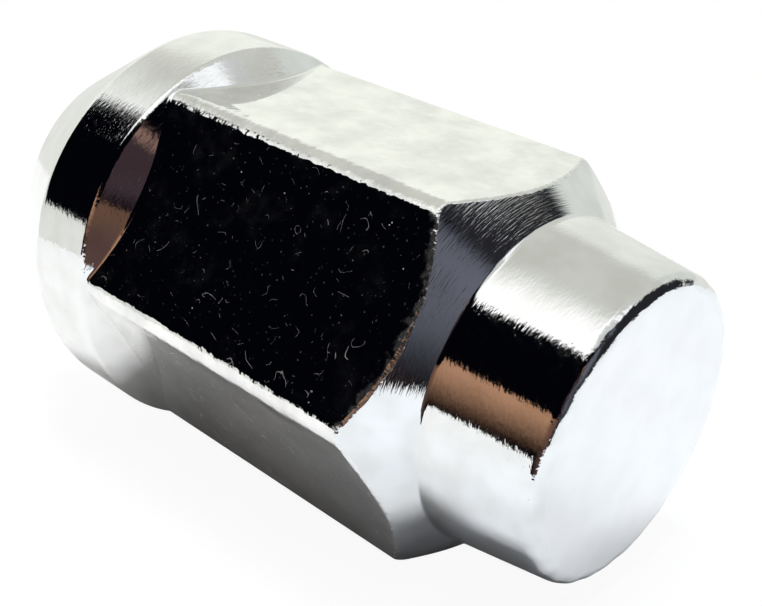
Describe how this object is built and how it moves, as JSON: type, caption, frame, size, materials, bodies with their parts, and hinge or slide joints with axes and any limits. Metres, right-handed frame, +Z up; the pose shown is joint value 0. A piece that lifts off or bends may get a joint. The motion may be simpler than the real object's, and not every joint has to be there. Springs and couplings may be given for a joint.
{
  "type": "lug nut",
  "caption": "Closed-end chrome wheel nut with a hexagon drive, a round collar, a conical seat and a blind threaded hole; clamps a wheel to its hub stud.",
  "frame": {"origin": "centre of the open end, on the thread's axis, in the plane of the seat's small end", "axes": "+X along the thread's axis towards the closed nose, +Z up out of one hexagon flat, +Y to the left; the nut lies on its side"},
  "size_m": [0.043, 0.0254, 0.0256],
  "materials": {
    "chrome_plate": "bright decorative chrome plate on cold-formed steel, fine turning marks on the round faces, light handling scratches on the flats"
  },
  "bodies": {
    "root": {"lug_nut": "chrome_plate"}
  },
  "joints": []
}
